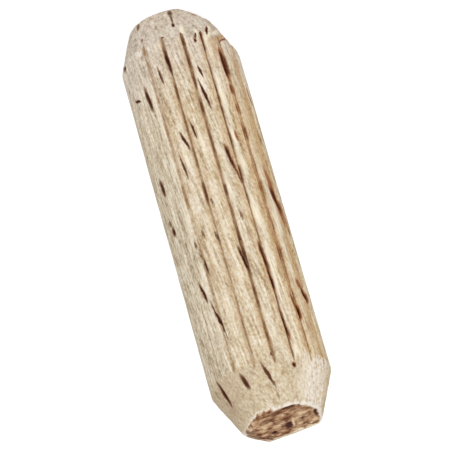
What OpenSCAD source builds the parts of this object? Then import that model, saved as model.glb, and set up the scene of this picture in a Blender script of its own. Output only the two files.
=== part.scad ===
// Fluted wooden dowel pin, turned and pressed from one piece of beech.
// It stands on the sawn face of its lower end. The origin is the centre of that end, +Z runs up the pin.
// The saw ran out of square at the upper end, and knocks have flattened parts of both rims.

/* [Pin] */
// Diameter over the lands between the flutes
pin_d = 8; // [6:0.5:12]
// Length along the axis, from one sawn face to the other
pin_l = 30; // [20:1:60]

/* [Pointed ends] */
// Length of the pointing cut at the upper end
top_taper_l = 3.3; // [1.5:0.1:5]
// Diameter of the sawn face at the upper end
top_face_d = 5; // [3:0.1:5.6]
// How far the upper pointing cut ran off the axis
top_runout = 0.1; // [0:0.05:0.3]
// Direction in which the upper cut ran off, in degrees from +X
top_runout_dir = 115; // [0:5:355]
// Length of the pointing cut at the lower end
foot_taper_l = 3.1; // [1.5:0.1:5]
// Diameter of the sawn face at the lower end
foot_face_d = 5.4; // [3:0.1:5.6]
// How far the lower pointing cut ran off the axis
foot_runout = 0.2; // [0:0.05:0.3]
// Direction in which the lower cut ran off, in degrees from +X
foot_runout_dir = 325; // [0:5:355]

/* [Flutes] */
// Number of glue flutes pressed into the shank
flute_n = 18; // [8:1:24]
// Depth of a flute below the lands
flute_depth = 0.2; // [0.15:0.01:0.5]
// Angle between the two flanks of a flute
flute_angle = 76; // [40:2:90]
// Radius of the rounded root of a flute
flute_root_r = 0.06; // [0.03:0.01:0.1]
// Radius that softens each shoulder of a flute
flute_shoulder_r = 0.07; // [0.03:0.01:0.12]
// Direction of the first flute, in degrees from +X
flute_dir = 1; // [0:0.5:20]

/* [Saw cut and knocked rim of the upper end] */
// How far the saw ran out of square, in degrees
saw_slant = 10; // [0:0.5:12]
// Direction of the low side of the sawn face, in degrees from +X
saw_dir = 246; // [0:1:359]
// How far the larger knocked flat reaches in from the rim
knock_reach = 1.2; // [0.4:0.1:2.4]
// Slope of the larger flat below a square face
knock_slope = 20; // [8:1:40]
// Direction of the larger flat, in degrees from +X
knock_dir = 102; // [0:1:359]
// How far the smaller knocked flat reaches in from the rim
nick_reach = 0.9; // [0.4:0.1:2.4]
// Slope of the smaller flat below a square face
nick_slope = 26; // [8:1:40]
// Direction of the smaller flat, in degrees from +X
nick_dir = 30; // [0:1:359]

/* [Knocked rim of the lower end] */
// How far the flat reaches in from the rim
foot_knock_reach = 1; // [0.4:0.1:1.4]
// Slope of the flat above the face that the pin stands on
foot_knock_slope = 33; // [20:1:50]
// Direction of the flat, in degrees from +X
foot_knock_dir = 199; // [0:1:359]

/* [Hidden] */
beech = [0.80, 0.71, 0.59];
curve_fn = 96;
root_steps = 4;
shoulder_steps = 3;
// How far a flute's cutter stands out beyond the lands
clear = 0.1;
pin_r = pin_d / 2;

// A flute's profile lies along +X, at the angle of one flank to that axis.
flank = flute_angle / 2;
root_x = pin_r - flute_depth + flute_root_r;
// Half width that the straight flanks would have at the lands
mouth_half = flute_root_r / cos(flank) + (flute_depth - flute_root_r) * tan(flank);
shoulder_x = pin_r - flute_shoulder_r;
shoulder_y = mouth_half - flute_shoulder_r * (tan(flank) - 1 / cos(flank));

// Points of an arc about (x, y) from one angle to another
function arc(x, y, r, from, to, steps) =
    [for (i = [0:steps]) let (a = from + (to - from) * i / steps) [x + r * cos(a), y + r * sin(a)]];

// Outline of one flute: two softened shoulders, two straight flanks and a rounded root
module flute_profile() {
    right = arc(shoulder_x, -shoulder_y, flute_shoulder_r, 0, 90 - flank, shoulder_steps);
    root = arc(root_x, 0, flute_root_r, 270 - flank, 90 + flank, root_steps);
    left = arc(shoulder_x, shoulder_y, flute_shoulder_r, flank - 90, 0, shoulder_steps);
    mouth = [[pin_r + clear, shoulder_y], [pin_r + clear, -shoulder_y]];
    polygon(concat(right, root, left, mouth));
}

// The shank as it leaves the press, fluted over its whole length and not yet sawn at the upper end
module fluted_shank() {
    linear_extrude(pin_l + pin_r)
        difference() {
            circle(r = pin_r, $fn = curve_fn);
            for (i = [0:flute_n - 1])
                rotate(flute_dir + i * 360 / flute_n) flute_profile();
        }
}

// The cone that a pointing cutter leaves, with the sawn face at z = 0 and the pin below it
module pointing_cone(face_d, taper_l) {
    spread = (pin_r - face_d / 2) / taper_l;
    reach = 2 * pin_l;
    translate([0, 0, -reach])
        cylinder(h = reach + face_d / 2 / spread, r1 = face_d / 2 + spread * reach, r2 = 0, $fn = curve_fn);
}

// All that lies above a plane, which crosses z = 0 at a distance from the axis in the direction dir
// and falls away beyond there at a slope
module above_plane(dir, distance, slope) {
    rotate(dir) translate([distance, 0, 0]) rotate([0, slope, 0])
        translate([-2 * pin_d, -2 * pin_d, 0]) cube(4 * pin_d);
}

module dowel_pin() {
    color(beech)
        difference() {
            intersection() {
                fluted_shank();
                translate([0, 0, pin_l]) rotate(top_runout_dir) translate([top_runout, 0, 0])
                    pointing_cone(top_face_d, top_taper_l);
                mirror([0, 0, 1]) rotate(foot_runout_dir) translate([foot_runout, 0, 0])
                    pointing_cone(foot_face_d, foot_taper_l);
            }
            translate([0, 0, pin_l]) {
                above_plane(saw_dir, 0, saw_slant);
                above_plane(knock_dir, top_face_d / 2 - knock_reach, knock_slope);
                above_plane(nick_dir, top_face_d / 2 - nick_reach, nick_slope);
            }
            mirror([0, 0, 1])
                above_plane(foot_knock_dir, foot_face_d / 2 - foot_knock_reach, foot_knock_slope);
        }
}

dowel_pin();
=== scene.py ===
import math
import random

import bpy
import numpy as np
from mathutils import Matrix, Vector, noise


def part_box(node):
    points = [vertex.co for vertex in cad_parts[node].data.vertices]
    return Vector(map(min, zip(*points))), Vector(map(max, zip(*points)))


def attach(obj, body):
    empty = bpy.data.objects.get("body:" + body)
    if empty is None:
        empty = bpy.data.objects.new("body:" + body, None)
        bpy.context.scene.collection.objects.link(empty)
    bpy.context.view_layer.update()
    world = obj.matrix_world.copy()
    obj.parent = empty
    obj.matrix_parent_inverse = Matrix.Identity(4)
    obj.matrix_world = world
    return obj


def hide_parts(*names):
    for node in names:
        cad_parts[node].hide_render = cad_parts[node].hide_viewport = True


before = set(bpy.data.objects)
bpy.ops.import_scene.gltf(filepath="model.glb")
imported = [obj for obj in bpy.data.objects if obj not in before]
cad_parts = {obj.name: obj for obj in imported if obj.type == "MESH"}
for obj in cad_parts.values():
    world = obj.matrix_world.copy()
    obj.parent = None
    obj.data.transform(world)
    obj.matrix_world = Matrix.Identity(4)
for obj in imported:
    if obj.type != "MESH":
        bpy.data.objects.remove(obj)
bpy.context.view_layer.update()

# The pin stands on its lower sawn end. Lengths are in millimetres and angles in degrees until a value
# is handed to Blender, and an angle round the pin is counted from +X towards +Y.
MM = 0.001
NODE = "dowel_pin"
cad_low, cad_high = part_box(NODE)

# Form of the pin
PIN_R = (cad_high.y - cad_low.y) / 2 / MM
PIN_L = 30.0
TOP = {"face_r": 2.5, "taper_l": 3.3, "runout": 0.1, "runout_dir": 115}
FOOT = {"face_r": 2.7, "taper_l": 3.1, "runout": 0.2, "runout_dir": 325}
# Planes that end the pin: direction, distance from the axis at the sawn face's height, and slope
TOP_PLANES = [(246, 0.0, 10), (102, 1.3, 20), (30, 1.6, 26)]
FOOT_PLANES = [(0, 0.0, 0), (199, 1.7, 33)]
FLUTE_N = 18
FLUTE_PITCH = 360 / FLUTE_N
FLUTE_DEPTH = 0.2
FLUTE_DIR = 1.0
FLANK = math.radians(38)
ROOT_R = 0.06
SHOULDER_R = 0.07

# Mesh: columns of one flute as angles from its middle, columns on a land, heights of the rows near the
# ends and along the shank, length of an end's close rows, and rings on the two sawn faces
FLUTE_COLUMNS = [0.4, 0.9, 1.6, 2.3, 2.8, 3.3]
LAND_COLUMN_N = 10
FINE_ROW = 0.092
COARSE_ROW = 0.205
FINE_ROWS_L = 4.0
TOP_RING_N = 22
FOOT_RING_N = 9

# Wear and relief of the mesh: rounding of the edges that the cuts leave, how ragged a pointing cut is
# and how much more so where it tore, share by which the flutes' depth varies, depth of fibres, broader
# lumps and flecks, depth and height of the worn rims, and depth of saw marks and pits
CUT_ROUNDING = 0.025
FACE_ROUNDING = 0.02
CUT_RAGGED = 0.03
TORN_RAGGED = 0.06
FLUTE_UNEVEN = 0.08
FIBRE_DEPTH = 0.022
LUMP_DEPTH = 0.035
FLECK_DEPTH = 0.035
TOP_RIM_WEAR = 0.03
TOP_RIM_CHIPS = 0.1
TOP_RIM_WORN_L = 0.15
FOOT_RIM_WEAR = 0.04
FOOT_RIM_WORN_L = 0.1
SAW_MARK_DEPTH = 0.012
PIT_DEPTH = 0.09
# Where the saw broke wood out of the upper rim: its middle, the angles on both sides where the break ends
# and where it is whole, its depth, and how ragged it is
BREAK_DIR = 316
BREAK_FADE = (46, 22)
BREAK_DEPTH = 0.24
BREAK_RAGGED = 0.17
# Angles over which the torn patch of the upper pointing cut fades in, on its two sides
TORN_SIDES = [(243, 221), (180, 200)]
# Dark line along a flute's floor, partly stain and partly painted shade, in degrees: half width of a
# faint one, and how much wider a dark one is
STAIN_AND_SHADE_HALF_W = 0.9
STAIN_AND_SHADE_HALF_W_MORE = 1.2
# Bands beside that line of painted shade in ochre and painted highlight in pale wood, in degrees: their
# middle, and where they fade
SHADE_AND_HIGHLIGHT_AT = 2.9
SHADE_AND_HIGHLIGHT_FADE = (3.8, 2.2)
# Shares of a placed mark's size over which its edge fades, in the mesh and in the material
MESH_MARK_EDGE = (0.45, 1.25)
MARK_EDGE = (0.4, 1.3)
# How far the edges of broad flecks and of bands of painted shade waver, in degrees round the pin and in
# height
FLECK_WAVER = (0.8, 0.1)
# Marks of the hidden sides: seed of the random draws, flecks, flutes, and stretches of stain and painted
# shade on each flute
HIDDEN_SEED = 8
HIDDEN_FLECK_N = 36
HIDDEN_FLUTE_N = 10
HIDDEN_STAIN_AND_SHADE_N = 3

# Grain: fibres lean towards -X as they rise
GRAIN_LEAN = math.tan(math.radians(6.5))
# Noise of the mesh: size of its lumps across and along the fibres, and seed
FIELDS = {
    "flute depth": (1.6, 7.0, 3.1),
    "cut edge": (0.3, 0.5, 5.5),
    "torn edge": (0.28, 0.4, 47.0),
    "fibres": (0.16, 2.2, 11.7),
    "lumps": (0.9, 5.0, 27.3),
    "rim chips": (0.35, 1, 33.0),
    "rim break": (0.22, 1, 8.8),
    "stain_and_shade": (0.8, 1.6, 61.0),
    "pale_and_highlight": (0.25, 2.2, 71.0),
    "fleck turn": (0.25, 0.7, 81.0),
    "fleck rise": (0.25, 0.7, 93.0),
    "face edge": (0.3, 1, 52.0),
    "knocked edge": (0.45, 1, 64.0),
    "saw lines": (0.12, 1, 41.0),
    "saw lumps": (0.35, 1, 17.0),
}

# Colours as a screen shows them, 0 to 255. The lists run from dark to pale grain, by position 0 to 1.
WOOD_TONES = [(0.0, (161, 136, 104)), (0.3, (195, 175, 144)), (0.5, (213, 197, 169)),
              (0.7, (227, 214, 190)), (1.0, (247, 237, 218))]
GREY_TONES = [(0.0, (150, 132, 108)), (0.35, (188, 172, 147)),
              (0.6, (204, 189, 165)), (1.0, (234, 222, 202))]
PINK_TONES = [(0.0, (157, 142, 126)), (0.35, (202, 188, 173)),
              (0.6, (217, 204, 190)), (1.0, (241, 231, 216))]
GOLD_TONES = [(0.0, (156, 116, 72)), (0.35, (204, 170, 116)),
              (0.6, (226, 198, 148)), (1.0, (244, 226, 190))]
END_TONES = [(0.32, (104, 64, 42)), (0.43, (158, 116, 84)),
             (0.54, (190, 154, 120)), (0.66, (220, 190, 154))]
CRUSHED_TONES = [(0.34, (206, 172, 130)), (0.46, (240, 222, 188)), (0.62, (252, 242, 218))]
GRIT_TONES = [(0.3, (172, 170, 170)), (0.7, (204, 205, 204))]
# Ochre and pale wood, also used as painted shade and painted highlight beside the flutes
OCHRE_WOOD_AND_SHADE = (196, 156, 104)
PALE_WOOD_AND_HIGHLIGHT = (244, 233, 213)
PALEST_WOOD_AND_HIGHLIGHT = (252, 240, 212)
TORN_WOOD = (237, 226, 212)
# Colour of the painted shade on the upper pointing cut
CUT_SHADE_COLOUR = (192, 172, 143)
RIM_WOOD = (244, 235, 222)
# Stain colours, also used as painted shade in the floors of the flutes
STAIN_AND_SHADE_EDGE = (156, 118, 78)
STAIN_AND_SHADE_MIDDLE = (86, 42, 25)
# Fleck edge colour, also used for the broad bands of painted shade
FLECK_EDGE_AND_SHADE = (140, 110, 84)
FLECK_EDGE_IN_OCHRE = (158, 92, 56)
FLECK_MIDDLE = (68, 29, 18)
END_PORES = (98, 54, 32)
PIT_COLOUR = (60, 20, 15)
SPLINTER_COLOUR = (228, 198, 164)

# Light: one soft distant lamp, the surroundings as a share of plain white, what the floor adds, and half
# the floor's width
KEY_LIGHT = {"azimuth": 272, "elevation": 20, "strength": 1.15, "softness": 20}
WORLD_LIGHT = 0.74
FLOOR_GLOW = 0.87
FLOOR_HALF = 600

# Camera: elevation and roll, distance from the middle of the pin, scale of the photograph there in
# pixels a millimetre, its size, where the middle of the pin lies in it, width of the sensor, and the
# nearest and farthest distance that is drawn
CAMERA_ELEVATION = 24.746
CAMERA_ROLL = 164.075
CAMERA_DISTANCE = 260.265
PHOTO_SCALE = 15.221
PHOTO_SIZE = 452
PIN_MIDDLE_AT = (225.804, 224.023)
SENSOR = 36.0
CLIP = (10, 5000)

# How each flute in view looks: darkness of its floor, partly stain and partly painted shade, how far that
# dark line leans to the + side in degrees, painted shade in ochre and painted highlight in pale wood on
# the + side, painted highlight in pale wood on the - side, and share of the full depth
LOOK_PARTS = ("stain_and_shade", "lean", "ochre_and_shade", "pale on +", "pale on -", "depth")
FLUTE_LOOKS = {
    341: (0.05, 0.0, 0.0, 0.1, 0.1, 0.3),
    321: (0.05, 0.0, 0.0, 0.15, 0.1, 0.3),
    301: (0.38, 0.8, 0.0, 0.35, 0.0, 0.75),
    281: (0.5, -0.5, 0.3, 0.3, 0.0, 0.9),
    261: (0.74, 0.0, 0.45, 0.15, 0.6, 1.0),
    241: (0.77, 0.7, 0.5, 0.0, 1.0, 1.0),
    221: (0.62, 0.2, 0.6, 0.0, 0.3, 1.0),
    201: (0.28, -1.4, 0.8, 0.0, 0.2, 1.0),
}
OTHER_FLUTE = (0.5, 0.0, 0.3, 0.15, 0.3, 0.9)

# Brown ray flecks, dark lines and faint broad bands of painted shade on the side in view: angle, height,
# half length, half width, lean, strength
FLECKS_AND_SHADE = [
    (264.7, 0.35, 0.3, 0.17, 0, 0.7),
    (265.2, 0.9, 0.6, 0.09, 0, 0.69),
    (265.7, 1.5, 0.22, 0.13, 0, 0.9),
    (232.0, 0.65, 0.12, 0.25, 0, 0.4),
    (312.5, 0.35, 0.35, 0.18, 15, 0.6),
    (303.7, 1.8, 0.2, 0.12, 20, 0.5),
    (279.7, 2.4, 0.13, 0.12, 0, 0.75),
    (249.6, 3.25, 0.22, 0.1, 6, 0.85),
    (230.0, 2.25, 0.62, 0.11, -30, 1.0),
    (225.4, 5.1, 1.4, 0.17, 3, 1.0),
    (225.3, 7.0, 0.5, 0.12, 3, 0.7),
    (225.1, 15.5, 13.0, 0.11, 0, 0.3),
    (225.1, 8.5, 0.5, 0.11, 0, 0.6),
    (225.1, 10.2, 1.0, 0.11, 0, 0.6),
    (225.1, 14.4, 0.6, 0.1, 0, 0.5),
    (225.1, 19.3, 0.8, 0.11, 0, 0.65),
    (280.9, 4.25, 1.3, 0.13, 3, 1.0),
    (241.2, 2.8, 0.6, 0.12, -12, 0.8),
    (247.6, 2.8, 0.3, 0.08, -25, 0.8),
    (291.6, 5.1, 0.75, 0.11, 5, 0.8),
    (305.8, 3.2, 0.3, 0.1, 0, 0.35),
    (328.2, 5.65, 0.42, 0.13, 62, 1.0),
    (311.8, 6.2, 1.05, 0.15, 6, 1.0),
    (253.3, 5.55, 0.5, 0.1, 10, 0.9),
    (255.1, 7.3, 1.25, 0.11, 8, 1.0),
    (286.1, 10.2, 0.8, 0.11, 15, 0.95),
    (275.1, 9.65, 0.7, 0.08, 7, 0.9),
    (293.8, 11.9, 0.95, 0.1, 6, 0.8),
    (327.7, 12.25, 0.8, 0.2, 9, 0.9),
    (248.4, 12.2, 1.25, 0.14, 8, 1.0),
    (245.2, 13.4, 0.9, 0.09, 8, 0.7),
    (235.6, 10.55, 0.45, 0.1, 7, 0.5),
    (204.6, 15.1, 1.25, 0.38, 22, 0.9),
    (208.0, 13.8, 1.2, 0.28, 12, 0.45),
    (201.5, 16.2, 0.9, 0.36, 22, 0.45),
    (329.5, 15.5, 0.38, 0.2, 20, 1.0),
    (331.5, 14.8, 0.35, 0.16, 30, 0.65),
    (276.6, 15.05, 0.35, 0.09, 15, 0.69),
    (253.3, 16.4, 0.45, 0.09, 10, 0.69),
    (293.7, 16.95, 0.4, 0.09, 5, 0.69),
    (304.7, 17.35, 0.35, 0.09, 5, 0.66),
    (316.2, 17.0, 0.25, 0.1, 0, 0.5),
    (281.2, 17.45, 0.45, 0.09, 10, 0.65),
    (300.4, 19.05, 0.7, 0.1, 4, 0.9),
    (302.7, 18.25, 0.25, 0.09, 10, 0.55),
    (262.5, 19.65, 1.15, 0.12, 10, 1.0),
    (311.2, 20.65, 0.85, 0.13, 11, 1.0),
    (302.0, 23.0, 1.5, 0.09, 10, 0.95),
    (203.0, 22.1, 0.62, 0.34, 28, 1.0),
    (209.5, 21.4, 0.5, 0.25, 20, 0.5),
    (333.9, 23.55, 0.6, 0.13, 25, 0.4),
    (319.9, 23.65, 0.4, 0.1, 15, 0.3),
    (220.9, 23.5, 0.65, 0.17, 6, 1.0),
    (224.9, 22.9, 0.8, 0.1, 6, 0.7),
    (243.4, 19.5, 1.2, 0.15, 4, 1.0),
    (242.2, 21.2, 1.1, 0.15, 3, 1.0),
    (241.6, 24.4, 1.2, 0.11, 6, 1.0),
    (241.7, 27.25, 0.18, 0.14, 0, 1.0),
    (262.3, 26.4, 0.15, 0.11, 0, 0.7),
    (329.3, 27.4, 1.0, 0.17, -9, 0.95),
    (296.5, 27.45, 0.6, 0.15, 10, 0.9),
    (270.2, 27.6, 1.15, 0.12, 17, 0.85),
    (265.7, 28.9, 0.35, 0.08, 10, 0.35),
    (341.0, 27.05, 0.5, 0.1, -20, 0.35),
    (337.0, 2.75, 0.2, 0.28, 0, 1.0),
    (214.0, 2.95, 1.0, 0.06, -59, 0.6),
    (276.8, 15.0, 12.5, 0.14, 0, 0.16),
    (294.0, 15.0, 12.5, 0.14, 0, 0.13),
    (334.0, 28.0, 1.3, 0.5, 0, 0.18),
    (311.0, 14.0, 4.0, 0.4, 0, 0.1),
]
# The sharp flecks, narrow and strong, are drawn by the material, and the broad and faint ones and the
# bands of painted shade by the mesh
SHARP_FLECKS = [mark for mark in FLECKS_AND_SHADE if mark[3] < 0.14 and mark[5] >= 0.7]
SOFT_FLECKS_AND_SHADE = [mark for mark in FLECKS_AND_SHADE if mark not in SHARP_FLECKS]
# Pale torn fibres, and pale bands between the flutes, which are painted highlight, in the same terms
PALE_AND_HIGHLIGHT = [
    (305.5, 15.0, 11.0, 0.24, 0, 0.5),
    (288.0, 15.0, 11.0, 0.26, 0, 0.4),
    (272.0, 15.0, 12.0, 0.2, 0, 0.12),
    (253.5, 17.0, 10.0, 0.16, 0, 0.25),
    (215.2, 15.0, 12.0, 0.2, 0, 0.45),
    (227.5, 2.2, 0.8, 0.14, -42, 1.0),
    (217.0, 2.25, 1.2, 0.16, -59, 0.88),
    (238.6, 12.7, 2.3, 0.1, 2, 0.8),
    (236.2, 16.3, 2.4, 0.17, 5, 0.9),
    (238.4, 20.8, 4.0, 0.09, 0, 0.9),
    (288.2, 11.9, 1.1, 0.2, 8, 0.7),
    (293.0, 14.8, 1.6, 0.22, 8, 0.55),
    (231.5, 2.7, 0.65, 0.13, -34, 1.0),
    (258.8, 2.15, 0.65, 0.15, -8, 1.0),
    (245.3, 2.6, 0.6, 0.14, -14, 1.0),
    (236.8, 2.9, 0.7, 0.15, -16, 1.0),
    (256.0, 24.0, 2.4, 0.12, 4, 0.4),
    (217.5, 13.0, 4.0, 0.12, 4, 0.5),
    (226.0, 28.4, 1.3, 1.2, 0, 0.55),
    (214.5, 16.3, 3.2, 0.36, 0, 0.85),
    (214.5, 19.5, 2.0, 0.3, 0, 0.4),
    (252.5, 12.5, 1.8, 0.3, 0, 0.45),
    (253.5, 12.5, 1.7, 0.16, 0, 0.5),
    (311.0, 3.8, 1.3, 0.4, 0, 0.4),
]
# Ochre bands and strokes, in the same terms; the long bands along the flutes are partly painted shade
OCHRE_AND_SHADE = [
    (207.8, 15.0, 14.0, 0.34, 0, 0.75),
    (215.0, 2.68, 1.25, 0.18, -59, 1.0),
    (206.0, 5.2, 1.3, 0.35, 8, 0.9),
    (206.0, 9.5, 1.6, 0.3, 4, 0.6),
    (247.5, 15.0, 12.0, 0.2, 0, 0.4),
    (229.5, 15.0, 12.0, 0.2, 0, 0.5),
    (266.5, 15.0, 12.0, 0.12, 0, 0.35),
    (297.5, 15.0, 11.0, 0.2, 0, 0.25),
    (275.5, 15.0, 12.0, 0.28, 0, 0.3),
    (293.0, 15.0, 11.0, 0.22, 0, 0.25),
    (219.0, 15.0, 12.0, 0.16, 0, 0.4),
    (214.0, 12.0, 3.0, 0.2, 5, 0.3),
    (214.5, 10.5, 3.0, 0.36, 0, 0.85),
    (234.0, 4.0, 1.5, 0.5, 0, 0.5),
    (214.5, 24.0, 3.0, 0.3, 0, 0.3),
    (231.5, 3.7, 1.2, 0.24, -10, 0.8),
]
# Stretches of the flutes in view whose floors are darker, partly stain and partly painted shade: angle of
# the flute, lower and upper end, strength
STAINS_AND_SHADE = [
    (301, 2.2, 3.2, 0.5), (301, 8.0, 9.6, 0.5), (301, 12.6, 15.2, 0.58), (301, 26.0, 26.6, 0.5),
    (281, 3.0, 5.5, 0.65), (281, 5.3, 7.6, 0.75), (281, 7.4, 10.4, 0.62), (281, 10.2, 12.8, 0.62),
    (281, 13.1, 15.3, 0.85), (281, 17.0, 18.2, 0.5),
    (261, 2.2, 3.6, 0.88), (261, 3.4, 7.4, 0.8), (261, 7.2, 8.8, 0.8), (261, 13.8, 14.9, 0.8),
    (261, 17.0, 21.0, 0.95),
    (241, 2.6, 4.2, 0.9), (241, 7.0, 9.2, 0.88), (241, 10.0, 11.4, 0.88),
    (241, 12.4, 14.4, 0.95), (241, 14.8, 15.6, 0.85), (241, 18.3, 23.0, 0.95), (241, 23.0, 25.2, 0.85),
    (221, 4.0, 6.3, 1.0), (221, 6.6, 7.4, 0.75), (221, 8.0, 8.8, 0.78), (221, 9.4, 11.1, 0.85),
    (221, 12.0, 12.8, 0.75), (221, 13.7, 15.0, 0.78), (221, 16.6, 17.6, 0.78), (221, 18.6, 20.2, 0.88),
    (221, 21.7, 23.2, 0.85), (221, 23.1, 24.2, 1.0), (221, 24.6, 26.4, 0.7),
]
# Pits and dark blotches of the upper sawn face: X, Y, half size along X and Y, strength
PITS = [
    (-0.38, -0.05, 0.29, 0.5, 1.0), (0.64, 0.16, 0.2, 0.22, 1.0), (1.45, 0.8, 0.6, 0.32, 1.0),
    (-2.25, -0.55, 0.17, 0.55, 1.0), (-1.35, -0.4, 0.4, 0.14, 0.55), (0.75, -1.44, 0.5, 0.16, 0.5),
    (-0.9, -2.2, 1.1, 0.16, 0.7), (2.1, -0.7, 0.35, 0.3, 0.55), (1.9, 0.4, 0.3, 0.16, 0.6),
    (0.3, -0.75, 0.45, 0.12, 0.4),
]
# Pale splinter across that face, in the same terms
SPLINTERS = [(-0.685, -0.32, 0.1, 0.58, 1.0)]


def smooth_step(low, high, value):
    t = np.clip((value - low) / (high - low), 0, 1)
    return t * t * (3 - 2 * t)


def soft_min(a, b, width):
    """The smaller of a and b, with the corner between them rounded over width."""
    h = np.clip(0.5 + (b - a) / (2 * width), 0, 1)
    return b + (a - b) * h - width * h * (1 - h)


def angle_apart(a, b):
    return (a - b + 180) % 360 - 180


def flute_radius(phi):
    """Radius of the fluted shank at phi radians from the middle of a flute."""
    root_x = PIN_R - FLUTE_DEPTH + ROOT_R
    mouth = ROOT_R / math.cos(FLANK) + (FLUTE_DEPTH - ROOT_R) * math.tan(FLANK)
    shoulder_x = PIN_R - SHOULDER_R
    shoulder_y = mouth - SHOULDER_R * (math.tan(FLANK) - 1 / math.cos(FLANK))
    flank_y = ROOT_R * math.cos(FLANK)
    flank_x = root_x - ROOT_R * math.sin(FLANK)
    r = np.full_like(phi, PIN_R)
    for _ in range(5):
        y = np.abs(r * np.sin(phi))
        root = root_x - np.sqrt(np.maximum(ROOT_R ** 2 - y ** 2, 0))
        flank = flank_x + (y - flank_y) / math.tan(FLANK)
        shoulder = shoulder_x + np.sqrt(np.maximum(SHOULDER_R ** 2 - (y - shoulder_y) ** 2, 0))
        x = np.where(y < flank_y, root, flank)
        x = np.where(y > shoulder_y - SHOULDER_R * math.cos(FLANK), shoulder, x)
        r = np.where(y >= shoulder_y, PIN_R, np.minimum(x / np.cos(phi), PIN_R))
    return r


def cone_radius(end, depth, theta):
    """Radius of a pointing cut at a depth below the sawn face, about the pin's own axis."""
    spread = (PIN_R - end["face_r"]) / end["taper_l"]
    aside = end["runout"] * np.cos(theta - math.radians(end["runout_dir"]))
    return end["face_r"] + spread * depth + aside


def rim_depth(end, planes, theta):
    """Depth of the rim below the sawn face's height, where the pointing cut meets the lowest plane."""
    spread = (PIN_R - end["face_r"]) / end["taper_l"]
    start = cone_radius(end, 0, theta)
    depths = []
    for direction, distance, slope in planes:
        lean = np.cos(theta - math.radians(direction))
        fall = math.tan(math.radians(slope))
        depths.append((start * lean - distance) * fall / (1 - spread * fall * lean))
    return np.max(depths, axis=0)


def face_depth(planes, x, y):
    """Depth of a sawn and knocked face below its nominal height, at x, y."""
    far_above = 9.0
    height = np.full_like(x, far_above)
    for direction, distance, slope in planes:
        a = math.radians(direction)
        out = x * math.cos(a) + y * math.sin(a) - distance
        height = soft_min(height, -out * math.tan(math.radians(slope)), FACE_ROUNDING)
    return -height


def column_angles():
    """Angles of the mesh columns: close together in a flute and wider apart on the lands."""
    edge = FLUTE_COLUMNS[-1]
    land_w = FLUTE_PITCH - 2 * edge
    land = [edge + land_w * (i + 1) / (LAND_COLUMN_N + 1) for i in range(LAND_COLUMN_N)]
    one = [-a for a in reversed(FLUTE_COLUMNS)] + [0] + FLUTE_COLUMNS + land
    return np.array([FLUTE_DIR + k * FLUTE_PITCH + a for k in range(FLUTE_N) for a in one])


def row_shares():
    """Heights of the mesh rows as shares of a column, close together along the pointed ends."""
    heights = [0.0, 0.05]
    while heights[-1] < PIN_L - 0.1:
        near_end = min(heights[-1], PIN_L - heights[-1]) < FINE_ROWS_L
        heights.append(heights[-1] + (FINE_ROW if near_end else COARSE_ROW))
    return np.array([h for h in heights if h < PIN_L - 0.06] + [PIN_L - 0.05, PIN_L]) / PIN_L


def field(x, y, z, name):
    """One of the noises stretched along the fibres, about -1 to 1, for arrays of points."""
    across, along, seed = FIELDS[name]
    points = np.stack([(x + z * GRAIN_LEAN) / across + seed, y / across - seed, z / along], -1)
    values = [noise.noise(p) for p in points.reshape(-1, 3).tolist()]
    return np.array(values).reshape(x.shape)


def hidden_marks():
    """Flecks, and stretches of stain and painted shade in the flutes, for the sides out of view, in the
    same terms.
    """
    chance = random.Random(HIDDEN_SEED)
    flecks = [(chance.uniform(4, 196), chance.uniform(1, 29), chance.uniform(0.25, 1.1),
               chance.uniform(0.09, 0.15), chance.uniform(2, 14), chance.uniform(0.5, 1.0))
              for _ in range(HIDDEN_FLECK_N)]
    stains_and_shade = []
    for k in range(HIDDEN_FLUTE_N):
        for _ in range(HIDDEN_STAIN_AND_SHADE_N):
            low = chance.uniform(3, 23)
            high = low + chance.uniform(0.5, 4)
            stains_and_shade.append((FLUTE_DIR + k * FLUTE_PITCH, low, high, chance.uniform(0.6, 1.0)))
    return flecks, stains_and_shade


HIDDEN_FLECKS, HIDDEN_STAINS_AND_SHADE = hidden_marks()


def flute_look(theta_deg, part):
    """One part of the flute looks, taken from the nearest flute."""
    column = LOOK_PARTS.index(part)
    values = np.full_like(theta_deg, OTHER_FLUTE[column])
    for angle, look in FLUTE_LOOKS.items():
        values[np.abs(angle_apart(theta_deg, angle)) < FLUTE_PITCH / 2] = look[column]
    return values


def mark_depth(marks, theta_deg, z, radius):
    """How strongly the listed marks cover each point of the side, 0 to 1."""
    cover = np.zeros_like(z)
    for angle, height, half_l, half_w, lean, strength in marks:
        across = np.radians(angle_apart(theta_deg, angle)) * radius
        up = z - height
        a = math.radians(lean)
        along = up * math.cos(a) - across * math.sin(a)
        side = across * math.cos(a) + up * math.sin(a)
        # No mark is narrower than the mesh can show
        d = np.hypot(along / half_l, side / max(1.1 * half_w, 0.085))
        cover = np.maximum(cover, strength * (1 - smooth_step(*MESH_MARK_EDGE, d)))
    return cover


def stain_and_shade_along(theta_deg, z):
    """How dark the floor of the nearest flute is at each height, 0 to 1: partly stain, partly painted
    shade.
    """
    stain_and_shade = np.zeros_like(z)
    for angle, low, high, strength in STAINS_AND_SHADE + HIDDEN_STAINS_AND_SHADE:
        here = np.abs(angle_apart(theta_deg, angle)) < FLUTE_PITCH / 2
        middle, half = (low + high) / 2, (high - low) / 2 + 0.3
        cover = 1 - smooth_step(0.35, 1.0, np.abs(z - middle) / half)
        stain_and_shade = np.maximum(stain_and_shade, np.where(here, strength * cover, 0))
    return stain_and_shade


def rim_break(theta_deg):
    """Where the saw broke wood out of the upper rim, 0 to 1."""
    return smooth_step(*BREAK_FADE, np.abs(angle_apart(theta_deg, BREAK_DIR)))


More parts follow.
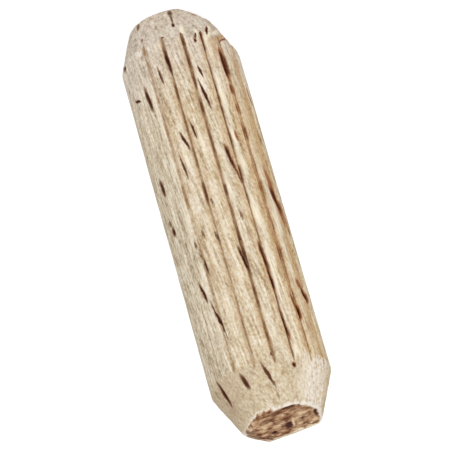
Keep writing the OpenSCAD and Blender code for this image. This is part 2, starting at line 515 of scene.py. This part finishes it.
def pin_side():
    """Points of the side in rows and columns, and the amounts that the material reads from them."""
    deg, share = np.meshgrid(column_angles(), row_shares())
    theta = np.radians(deg)
    foot_z = rim_depth(FOOT, FOOT_PLANES, theta)
    top_z = PIN_L - rim_depth(TOP, TOP_PLANES, theta)
    z = foot_z + share * (top_z - foot_z)
    below_rim = (1 - share) * PIN_L
    above_rim = share * PIN_L

    # Fluted shank and pointing cuts
    phi = (deg - FLUTE_DIR + FLUTE_PITCH / 2) % FLUTE_PITCH - FLUTE_PITCH / 2
    x0, y0 = PIN_R * np.cos(theta), PIN_R * np.sin(theta)
    uneven = flute_look(deg, "depth") * (1 - FLUTE_UNEVEN * (1 + field(x0, y0, z, "flute depth")))
    fluted = PIN_R - (PIN_R - flute_radius(np.radians(phi))) * uneven
    torn = 1.0
    for fade in TORN_SIDES:
        torn = torn * smooth_step(*fade, deg % 360)
    ragged = field(x0, y0, z, "cut edge") * (CUT_RAGGED + TORN_RAGGED * torn)
    top_cone = cone_radius(TOP, PIN_L - z, theta) + ragged
    foot_cone = cone_radius(FOOT, z, theta) + ragged
    radius = soft_min(soft_min(fluted, top_cone, CUT_ROUNDING), foot_cone, CUT_ROUNDING)
    on_top = smooth_step(0.0, 0.06, fluted - top_cone)
    on_foot = smooth_step(0.0, 0.06, fluted - foot_cone)
    on_shank = 1 - np.maximum(on_top, on_foot)
    torn_edge = fluted - top_cone + 0.13 * field(x0, y0, z, "torn edge")
    torn_patch = torn * smooth_step(-0.01, 0.03, torn_edge)

    # Relief and worn rims
    fibres = 0.5 + 0.5 * field(x0, y0, z, "fibres")
    lumps = 0.5 + 0.5 * field(x0, y0, z, "lumps")
    pits = mark_depth(FLECKS_AND_SHADE + HIDDEN_FLECKS, deg, z, radius)
    radius -= FIBRE_DEPTH * fibres + LUMP_DEPTH * lumps + FLECK_DEPTH * pits
    chips = 0.5 + 0.5 * field(x0, y0, z * 0, "rim chips")
    top_wear = TOP_RIM_WEAR + TOP_RIM_CHIPS * chips
    radius -= top_wear * (1 - smooth_step(0, TOP_RIM_WORN_L, below_rim))
    radius -= FOOT_RIM_WEAR * (1 - smooth_step(0, FOOT_RIM_WORN_L, above_rim))

    # Floors of the flutes, darkened partly by stain and partly by painted shade; beside them bands of
    # painted shade in ochre and of painted highlight in pale wood; and the ochre and pale marks, whose
    # long bands along the flutes are partly painted shade and painted highlight
    patchy = 0.85 + 0.35 * field(x0, y0, z, "stain_and_shade")
    stain_and_shade = np.maximum(stain_and_shade_along(deg, z), flute_look(deg, "stain_and_shade") * patchy)
    half_width = STAIN_AND_SHADE_HALF_W + STAIN_AND_SHADE_HALF_W_MORE * stain_and_shade
    off_line = np.abs(phi - flute_look(deg, "lean")) / half_width
    flute_floor = (1 - smooth_step(0.3, 1.3, off_line)) * on_shank
    # Bands of painted shade on the + side and of painted highlight on both sides of each flute
    shade_and_highlight_band = on_shank * smooth_step(*SHADE_AND_HIGHLIGHT_FADE, np.abs(phi + np.where(phi > 0, -SHADE_AND_HIGHLIGHT_AT, SHADE_AND_HIGHLIGHT_AT)))
    ochre_and_shade = np.where(phi > 0, shade_and_highlight_band * flute_look(deg, "ochre_and_shade"), 0)
    ochre_and_shade = np.maximum(ochre_and_shade, mark_depth(OCHRE_AND_SHADE, deg, z, radius))
    pale_and_highlight = shade_and_highlight_band * np.where(phi > 0, flute_look(deg, "pale on +"), flute_look(deg, "pale on -"))
    pale_and_highlight *= np.clip(0.6 + 0.9 * field(x0, y0, z, "pale_and_highlight"), 0, 1.2)
    pale_and_highlight = np.maximum(pale_and_highlight, mark_depth(PALE_AND_HIGHLIGHT, deg, z, radius))

    # Pale and broken rim of the upper end
    rim_noise = field(x0, y0, z, "rim break")
    below_break = below_rim - BREAK_DEPTH * rim_break(deg) + BREAK_RAGGED * rim_noise
    broken = smooth_step(0.2, 0.5, rim_break(deg)) * smooth_step(0.03, -0.05, below_break)
    rim_edge = 0.9 * (1 - smooth_step(0.02, 0.17, below_break)) * (1 - broken)

    # Broad and faint flecks and bands of painted shade, with wavy edges
    wavy_deg = deg + FLECK_WAVER[0] * field(x0, y0, z, "fleck turn")
    wavy_z = z + FLECK_WAVER[1] * field(x0, y0, z, "fleck rise")
    soft_flecks_and_shade = mark_depth(SOFT_FLECKS_AND_SHADE + HIDDEN_FLECKS, wavy_deg, wavy_z, radius)

    side = np.stack([radius * np.cos(theta), radius * np.sin(theta), z], -1)
    amounts = {"fleck_and_shade": soft_flecks_and_shade, "stain_and_shade": flute_floor * stain_and_shade, "ochre_and_shade": ochre_and_shade, "pale_and_highlight": pale_and_highlight,
               "top_cut": on_top, "foot_cut": on_foot, "torn": torn_patch, "rim": rim_edge,
               "end_grain": broken, "knocked": np.zeros_like(z)}
    return side, amounts


def sawn_face(ring_n, planes, rim, is_top):
    """Points of a sawn face in rings from its rim inwards, then its middle, and the amounts there."""
    inner = [0.02 + 0.98 * (i / ring_n) ** 1.1 for i in range(ring_n)]
    share_in = 1 - np.array(inner)[:, None]
    x, y = rim[None, :, 0] * share_in, rim[None, :, 1] * share_in
    from_rim = (1 - share_in) * np.hypot(rim[:, 0], rim[:, 1])[None, :]
    far_side = smooth_step(0.25, 0.8, y / np.hypot(x, y)) if is_top else 0.0
    reach = 0.05 + 0.1 * far_side + 0.09 * field(x, y, x * 0, "face edge")
    end_grain = smooth_step(reach, reach + 0.12, from_rim)
    knocked = x * 0
    if is_top:
        at_break = rim_break(np.degrees(np.arctan2(y, x)))
        end_grain = np.maximum(end_grain, smooth_step(0.2, 0.5, at_break))
        below_saw_cut = face_depth(planes[1:2], x, y) - face_depth(planes[:1], x, y)
        uneven_edge = field(x, y, x * 0, "knocked edge")
        knocked = smooth_step(-0.11, -0.03, below_saw_cut + 0.07 * uneven_edge)
        knocked *= smooth_step(1.35, 0.45, x + 0.5 * uneven_edge)
    x = np.append(x.reshape(-1), 0)
    y = np.append(y.reshape(-1), 0)
    end_grain = np.append(end_grain, 1.0)
    knocked = np.append(knocked, 0.0)
    depth = face_depth(planes, x, y)
    rough = field(x, y * 0.25, x * 0, "saw lines") + field(x, y, x * 0, "saw lumps")
    depth += SAW_MARK_DEPTH * (1 + rough)
    if is_top:
        for px, py, half_x, half_y, strength in PITS:
            d = np.hypot((x - px) / half_x, (y - py) / half_y)
            depth += PIT_DEPTH * strength * (1 - smooth_step(0.3, 1.2, d))
    points = np.stack([x, y, PIN_L - depth if is_top else depth], -1)
    return points, {"end_grain": end_grain, "rim": 0.6 * (1 - end_grain), "knocked": knocked}


def skin(rows, columns):
    """Faces that join the rows of the side and the rings of both sawn faces into one closed mesh."""
    k = np.arange(columns)

    def strip(first_a, row_a, first_b, row_b, flip=False):
        a, b = first_a + row_a * columns, first_b + row_b * columns
        quad = [a + k, a + (k + 1) % columns, b + (k + 1) % columns, b + k]
        return np.stack(quad[::-1] if flip else quad, -1)

    top_first = rows * columns
    foot_first = top_first + TOP_RING_N * columns + 1
    quads = [strip(0, i, 0, i + 1) for i in range(rows - 1)]
    quads.append(strip(0, rows - 1, top_first, 0))
    quads += [strip(top_first, i, top_first, i + 1) for i in range(TOP_RING_N - 1)]
    quads.append(strip(0, 0, foot_first, 0, flip=True))
    quads += [strip(foot_first, i, foot_first, i + 1, flip=True) for i in range(FOOT_RING_N - 1)]
    faces = np.concatenate(quads).tolist()
    top_last = top_first + (TOP_RING_N - 1) * columns
    foot_last = foot_first + (FOOT_RING_N - 1) * columns
    top_middle, foot_middle = top_last + columns, foot_last + columns
    faces += [(top_last + i, top_last + (i + 1) % columns, top_middle) for i in range(columns)]
    faces += [(foot_last + (i + 1) % columns, foot_last + i, foot_middle) for i in range(columns)]
    return faces


def pin_mesh():
    """The whole pin as one closed mesh, with what its material reads as attributes."""
    side, amounts = pin_side()
    rows, columns = side.shape[:2]
    top_face, on_top = sawn_face(TOP_RING_N, TOP_PLANES, side[-1], True)
    foot_face, on_foot = sawn_face(FOOT_RING_N, FOOT_PLANES, side[0], False)
    points = np.concatenate([side.reshape(-1, 3), top_face, foot_face])

    mesh = bpy.data.meshes.new("pin")
    mesh.from_pydata((points * MM).tolist(), [], skin(rows, columns))
    mesh.polygons.foreach_set("use_smooth", [True] * len(mesh.polygons))
    for name, amount in amounts.items():
        on_faces = [face_amounts.get(name, np.zeros(len(face)))
                    for face, face_amounts in ((top_face, on_top), (foot_face, on_foot))]
        values = np.concatenate([amount.reshape(-1), *on_faces])
        attribute = mesh.attributes.new(name, "FLOAT", "POINT")
        attribute.data.foreach_set("value", values.astype(np.float32))
    mesh.update()
    return mesh


def colour(red, green, blue):
    """A linear colour from 0 to 255 values as a screen shows them."""
    linear = [c / 12.92 if c <= 0.04045 else ((c + 0.055) / 1.055) ** 2.4
              for c in (red / 255, green / 255, blue / 255)]
    return (*linear, 1.0)


class Shader:
    """Short calls that add nodes to one material."""

    def __init__(self, name):
        self.material = bpy.data.materials.new(name)
        self.material.use_nodes = True
        self.tree = self.material.node_tree
        self.surface = self.tree.nodes["Principled BSDF"]

    def node(self, kind, **settings):
        made = self.tree.nodes.new(kind)
        for key, value in settings.items():
            setattr(made, key, value)
        return made

    def put(self, socket, value):
        if isinstance(value, bpy.types.NodeSocket):
            self.tree.links.new(value, socket)
        else:
            socket.default_value = value

    def math(self, operation, a, b=0.0, clamp=False):
        made = self.node("ShaderNodeMath", operation=operation, use_clamp=clamp)
        self.put(made.inputs[0], a)
        self.put(made.inputs[1], b)
        return made.outputs[0]

    def vector(self, operation, a, b=(0, 0, 0)):
        made = self.node("ShaderNodeVectorMath", operation=operation)
        self.put(made.inputs[0], a)
        self.put(made.inputs[1], b)
        return made.outputs["Value" if operation == "LENGTH" else "Vector"]

    def ramp(self, value, low, high, to_low=0.0, to_high=1.0):
        made = self.node("ShaderNodeMapRange", interpolation_type="SMOOTHSTEP")
        for index, number in enumerate((value, low, high, to_low, to_high)):
            self.put(made.inputs[index], number)
        return made.outputs[0]

    def noise(self, where, detail=2.0, roughness=0.5, output="Fac"):
        made = self.node("ShaderNodeTexNoise")
        self.put(made.inputs["Vector"], where)
        self.put(made.inputs["Scale"], 1.0)
        self.put(made.inputs["Detail"], detail)
        self.put(made.inputs["Roughness"], roughness)
        return made.outputs[output]

    def mix(self, amount, a, b, kind="MIX"):
        made = self.node("ShaderNodeMix", data_type="RGBA", blend_type=kind)
        self.put(made.inputs[0], amount)
        self.put(made.inputs[6], a)
        self.put(made.inputs[7], b)
        return made.outputs[2]

    def tones(self, value, stops):
        """A colour ramp through stops of position and colour."""
        made = self.node("ShaderNodeValToRGB")
        while len(made.color_ramp.elements) < len(stops):
            made.color_ramp.elements.new(0.5)
        for element, (position, shade) in zip(made.color_ramp.elements, stops):
            element.position = position
            element.color = colour(*shade)
        self.put(made.inputs[0], value)
        return made.outputs[0]

    def attribute(self, name):
        return self.node("ShaderNodeAttribute", attribute_name=name).outputs["Fac"]

    def ellipsoid(self, where, middle, half_sizes, turn=(0, 0, 0)):
        """Distance from the middle of an ellipsoid, which is 1 on its surface."""
        made = self.node("ShaderNodeMapping", vector_type="TEXTURE")
        self.put(made.inputs["Vector"], where)
        self.put(made.inputs["Location"], middle)
        self.put(made.inputs["Rotation"], turn)
        self.put(made.inputs["Scale"], half_sizes)
        return self.vector("LENGTH", made.outputs[0])


def mark_cover(s, where, marks):
    """Cover of the listed marks, each an ellipsoid that cuts the surface of the side."""
    total = None
    for angle, height, half_l, half_w, lean, strength in marks:
        a = math.radians(angle)
        taper = min(cone_radius(TOP, PIN_L - height, a), cone_radius(FOOT, height, a))
        r = min(PIN_R, taper)
        out = Vector((math.cos(a), math.sin(a), 0))
        back = Vector((-out.y, out.x, 0))
        rise = Vector((0, 0, 1))
        tilt = math.radians(lean)
        long_way = rise * math.cos(tilt) - back * math.sin(tilt)
        short_way = back * math.cos(tilt) + rise * math.sin(tilt)
        turn = Matrix((short_way, out, long_way)).transposed().to_euler("XYZ")
        half_sizes = (1.03 * half_w, 0.6, 1.04 * half_l)
        distance = s.ellipsoid(where, (out.x * r, out.y * r, height), half_sizes, turn)
        cover = s.ramp(distance, *MARK_EDGE, strength, 0.0)
        total = cover if total is None else s.math("MAXIMUM", total, cover)
    return total


def end_grain_colour(s, point, worn_point):
    """Colour of the upper sawn face: grain, pores, the crushed flat, pits and a splinter."""
    lines = s.noise(s.vector("MULTIPLY", point, (1.35, 2.3, 1.0)), 1.5, 0.6)
    pores = s.noise(s.vector("MULTIPLY", point, (2.7, 2.6, 5.0)), 1.5, 0.6)
    end = s.tones(lines, END_TONES)
    end = s.mix(s.ramp(pores, 0.5, 0.66, 0.0, 0.75), end, colour(*END_PORES))
    crushed = s.math("MULTIPLY", s.attribute("knocked"), s.ramp(pores, 0.68, 0.48, 0.45, 1.0))
    end = s.mix(crushed, end, s.tones(lines, CRUSHED_TONES))
    for marks, shade in ((PITS, PIT_COLOUR), (SPLINTERS, SPLINTER_COLOUR)):
        for px, py, half_x, half_y, strength in marks:
            distance = s.ellipsoid(worn_point, (px, py, PIN_L), (half_x, half_y, 2.0))
            cover = s.ramp(distance, 0.5, 1.3, 0.95 * strength, 0.0)
            end = s.mix(cover, end, colour(*shade))
    return end


def beech():
    """Raw beech: fibres, growth rings, brown ray flecks, flutes darkened by stain and painted shade,
    painted shade and highlight beside them, painted shade on the upper pointing cut, and darker end
    grain.
    """
    s = Shader("beech")
    place = s.node("ShaderNodeTexCoord").outputs["Object"]
    point = s.vector("MULTIPLY", place, (1 / MM,) * 3)
    split = s.node("ShaderNodeSeparateXYZ")
    s.put(split.inputs[0], point)
    x, y, z = split.outputs
    join = s.node("ShaderNodeCombineXYZ")
    s.put(join.inputs[0], s.math("ADD", x, s.math("MULTIPLY", z, GRAIN_LEAN)))
    s.put(join.inputs[1], y)
    s.put(join.inputs[2], z)
    grain = join.outputs[0]

    def stretched(across, deep, along, detail=2.0, roughness=0.5):
        """Noise whose lumps are about these lengths across, through and along the fibres."""
        scaled = s.vector("MULTIPLY", grain, (1 / across, 1 / deep, 1 / along))
        return s.noise(scaled, detail, roughness)

    def patches(name, value, low, high, least, most):
        """An attribute of the mesh, made uneven by a noise."""
        return s.math("MULTIPLY", s.attribute(name), s.ramp(value, low, high, least, most))

    # Tone of the grain, plainer on the pointing cuts
    streak = stretched(0.17, 0.17, 2.4)
    fibre = stretched(0.1, 0.1, 0.6, 2.0, 0.6)
    speckle = stretched(0.15, 0.15, 0.22, 1.0)
    band = stretched(0.7, 0.9, 8.0, 1.0)
    mottle = stretched(0.38, 0.38, 0.8, 1.0)
    on_top, on_foot = s.attribute("top_cut"), s.attribute("foot_cut")
    plain = s.math("MAXIMUM", on_top, on_foot)
    tone = 0.5
    for amount, part in ((1.6, streak), (0.7, fibre), (0.9, speckle), (0.5, mottle), (0.6, band)):
        if part in (streak, fibre):
            amount = s.math("SUBTRACT", amount, s.math("MULTIPLY", plain, 0.3 * amount))
        tone = s.math("ADD", tone, s.math("MULTIPLY", s.math("SUBTRACT", part, 0.5), amount))

    # Hue of the grain: pink and golden patches, golden towards -X, grey towards +X and pink at the foot
    wood, grey = s.tones(tone, WOOD_TONES), s.tones(tone, GREY_TONES)
    pink, golden = s.tones(tone, PINK_TONES), s.tones(tone, GOLD_TONES)
    hue = stretched(0.4, 0.4, 0.9, 1.0)
    wood = s.mix(s.ramp(hue, 0.55, 0.75, 0.0, 0.4), wood, pink)
    wood = s.mix(s.ramp(hue, 0.45, 0.25, 0.0, 0.25), wood, golden)
    wood = s.mix(s.ramp(x, -1.2, -3.2, 0.0, 0.4), wood, golden)
    wood = s.mix(s.ramp(x, 1.4, 2.6, 0.0, 0.75), wood, grey)
    wood = s.mix(s.ramp(z, 9.0, 1.8, 0.0, 0.85), wood, pink)

    # Ochre wood and painted shade, pale wood and painted highlight, torn wood, and painted shade on the
    # upper pointing cut, deeper towards +X
    wood = s.mix(patches("ochre_and_shade", streak, 0.3, 0.6, 0.45, 0.95), wood, colour(*OCHRE_WOOD_AND_SHADE))
    wood = s.mix(patches("pale_and_highlight", streak, 0.35, 0.6, 0.4, 1.0), wood, colour(*PALE_WOOD_AND_HIGHLIGHT))
    wood = s.mix(s.ramp(s.attribute("pale_and_highlight"), 0.72, 1.0, 0.0, 0.75), wood, colour(*PALEST_WOOD_AND_HIGHLIGHT))
    wood = s.mix(patches("torn", speckle, 0.35, 0.62, 0.25, 0.95), wood, colour(*TORN_WOOD))
    # Painted shade on the upper pointing cut outside the torn patch, deeper towards +X
    not_torn = s.math("SUBTRACT", on_top, s.attribute("torn"), clamp=True)
    cut_shade = s.math("MULTIPLY", not_torn, s.ramp(x, 0.3, 2.6, 0.38, 0.75))
    wood = s.mix(cut_shade, wood, colour(*CUT_SHADE_COLOUR))

    # Floors of the flutes, darkened partly by stain and partly by painted shade
    stain_and_shade_noise = stretched(0.3, 0.3, 0.8)
    stained_and_shaded = s.ramp(stain_and_shade_noise, 0.3, 0.6, 0.65, 1.1)
    floor = s.math("MULTIPLY", s.attribute("stain_and_shade"), stained_and_shaded, clamp=True)
    wood = s.mix(s.ramp(floor, 0.0, 0.5, 0.0, 0.85), wood, colour(*STAIN_AND_SHADE_EDGE))
    wood = s.mix(s.ramp(floor, 0.35, 1.0, 0.0, 0.92), wood, colour(*STAIN_AND_SHADE_MIDDLE))

    # Ray flecks with ragged edges, broad bands of painted shade, and the pale rim
    wobble = s.noise(s.vector("MULTIPLY", grain, (7.0, 7.0, 2.5)), output="Color")
    shift = s.vector("MULTIPLY", s.vector("SUBTRACT", wobble, (0.5,) * 3), (0.16, 0.16, 0.4))
    worn_point = s.vector("ADD", point, shift)
    fleck_and_shade = s.math("MAXIMUM", mark_cover(s, worn_point, SHARP_FLECKS), s.attribute("fleck_and_shade"))
    fleck_and_shade_edge = s.mix(s.ramp(x, -0.6, -2.4), colour(*FLECK_EDGE_AND_SHADE), colour(*FLECK_EDGE_IN_OCHRE))
    wood = s.mix(s.ramp(fleck_and_shade, 0.0, 0.5, 0.0, 0.85), wood, fleck_and_shade_edge)
    wood = s.mix(s.ramp(fleck_and_shade, 0.3, 1.0, 0.0, 0.97), wood, colour(*FLECK_MIDDLE))
    wood = s.mix(s.attribute("rim"), wood, colour(*RIM_WOOD))

    wood = s.mix(s.attribute("end_grain"), wood, end_grain_colour(s, point, worn_point))
    grit = stretched(0.13, 0.13, 0.2, 1.0, 0.6)
    wood = s.mix(1.0, wood, s.tones(grit, GRIT_TONES), "OVERLAY")

    bump = s.node("ShaderNodeBump")
    bump.inputs["Strength"].default_value = 0.6
    bump.inputs["Distance"].default_value = 0.03 * MM
    relief = s.math("ADD", s.math("MULTIPLY", fibre, 0.7), s.math("MULTIPLY", speckle, 0.3))
    s.put(bump.inputs["Height"], relief)
    s.put(s.surface.inputs["Base Color"], wood)
    s.put(s.surface.inputs["Normal"], bump.outputs[0])
    s.put(s.surface.inputs["Roughness"], s.ramp(fibre, 0.3, 0.7, 0.82, 0.68))
    s.put(s.surface.inputs["Specular IOR Level"], s.ramp(fleck_and_shade, 0.0, 0.5, 0.12, 0.0))
    return s.material


def white_floor():
    """White to the camera, apart from a faint shadow, and plain white card to the light."""
    s = Shader("white_floor")
    s.surface.inputs["Base Color"].default_value = (0.8, 0.8, 0.8, 1)
    s.surface.inputs["Roughness"].default_value = 1.0
    s.surface.inputs["Specular IOR Level"].default_value = 0.0
    plain = s.node("ShaderNodeBsdfDiffuse")
    plain.inputs["Color"].default_value = (0.3, 0.3, 0.3, 1)
    glow = s.node("ShaderNodeEmission")
    glow.inputs["Strength"].default_value = FLOOR_GLOW
    both = s.node("ShaderNodeAddShader")
    s.put(both.inputs[0], plain.outputs[0])
    s.put(both.inputs[1], glow.outputs[0])
    path = s.node("ShaderNodeLightPath")
    seen = s.math("MAXIMUM", path.outputs["Is Camera Ray"], path.outputs["Is Glossy Ray"])
    seen = s.math("MAXIMUM", seen, path.outputs["Is Transmission Ray"])
    choose = s.node("ShaderNodeMixShader")
    s.put(choose.inputs[0], seen)
    s.put(choose.inputs[1], s.surface.outputs[0])
    s.put(choose.inputs[2], both.outputs[0])
    s.put(s.tree.nodes["Material Output"].inputs["Surface"], choose.outputs[0])
    return s.material


def make_world():
    """Even white surroundings: plain white where they are seen, and dimmer as light."""
    world = bpy.data.worlds.new("surroundings")
    world.use_nodes = True
    bpy.context.scene.world = world
    tree = world.node_tree
    path = tree.nodes.new("ShaderNodeLightPath")
    seen = path.outputs["Is Camera Ray"]
    for name in ("Is Glossy Ray", "Is Transmission Ray"):
        either = tree.nodes.new("ShaderNodeMath")
        either.operation = "MAXIMUM"
        tree.links.new(seen, either.inputs[0])
        tree.links.new(path.outputs[name], either.inputs[1])
        seen = either.outputs[0]
    strength = tree.nodes.new("ShaderNodeMapRange")
    strength.inputs["To Min"].default_value = WORLD_LIGHT
    strength.inputs["To Max"].default_value = 1.0
    tree.links.new(seen, strength.inputs["Value"])
    background = tree.nodes["Background"]
    background.inputs["Color"].default_value = (1, 1, 1, 1)
    tree.links.new(strength.outputs[0], background.inputs["Strength"])


def make_light(name, azimuth, elevation, strength, softness):
    """A distant lamp that shines from an angle round the pin and a height above the floor."""
    lamp = bpy.data.lights.new(name, "SUN")
    lamp.energy = strength
    lamp.angle = math.radians(softness)
    light = bpy.data.objects.new(name, lamp)
    a, e = math.radians(azimuth), math.radians(elevation)
    source = Vector((math.cos(a) * math.cos(e), math.sin(a) * math.cos(e), math.sin(e)))
    light.rotation_euler = source.to_track_quat("Z", "Y").to_euler()
    bpy.context.scene.collection.objects.link(light)


def make_camera():
    """The camera that shows the pin as it lies in the photograph."""
    e, roll = math.radians(CAMERA_ELEVATION), math.radians(CAMERA_ROLL)
    back = Vector((0, -math.cos(e), math.sin(e)))
    level_right = Vector((1, 0, 0))
    level_up = back.cross(level_right)
    right = level_right * math.cos(roll) + level_up * math.sin(roll)
    up = level_up * math.cos(roll) - level_right * math.sin(roll)
    aside = (PHOTO_SIZE / 2 - PIN_MIDDLE_AT[0]) / PHOTO_SCALE
    below = (PHOTO_SIZE / 2 - PIN_MIDDLE_AT[1]) / PHOTO_SCALE
    place = Vector((0, 0, PIN_L / 2)) + back * CAMERA_DISTANCE + right * aside - up * below
    camera = bpy.data.cameras.new("camera")
    camera.sensor_width = SENSOR
    camera.lens = PHOTO_SCALE * CAMERA_DISTANCE / PHOTO_SIZE * SENSOR
    camera.clip_start, camera.clip_end = [distance * MM for distance in CLIP]
    seat = bpy.data.objects.new("camera", camera)
    turn = Matrix((right, up, back)).transposed().to_4x4()
    seat.matrix_world = Matrix.Translation(place * MM) @ turn
    bpy.context.scene.collection.objects.link(seat)
    bpy.context.scene.camera = seat


def make_floor():
    """A wide square under the pin."""
    half = FLOOR_HALF * MM
    corners = [(-half, -half, 0), (half, -half, 0), (half, half, 0), (-half, half, 0)]
    mesh = bpy.data.meshes.new("floor")
    mesh.from_pydata(corners, [], [(0, 1, 2, 3)])
    mesh.materials.append(white_floor())
    floor = bpy.data.objects.new("floor", mesh)
    bpy.context.scene.collection.objects.link(floor)


make_camera()
make_world()
make_floor()
make_light("key", **KEY_LIGHT)

pin = bpy.data.objects.new("pin", pin_mesh())
pin.data.materials.append(beech())
bpy.context.scene.collection.objects.link(pin)
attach(pin, "root")
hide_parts(NODE)

bpy.context.scene.view_settings.view_transform = "Standard"

bpy.context.view_layer.update()
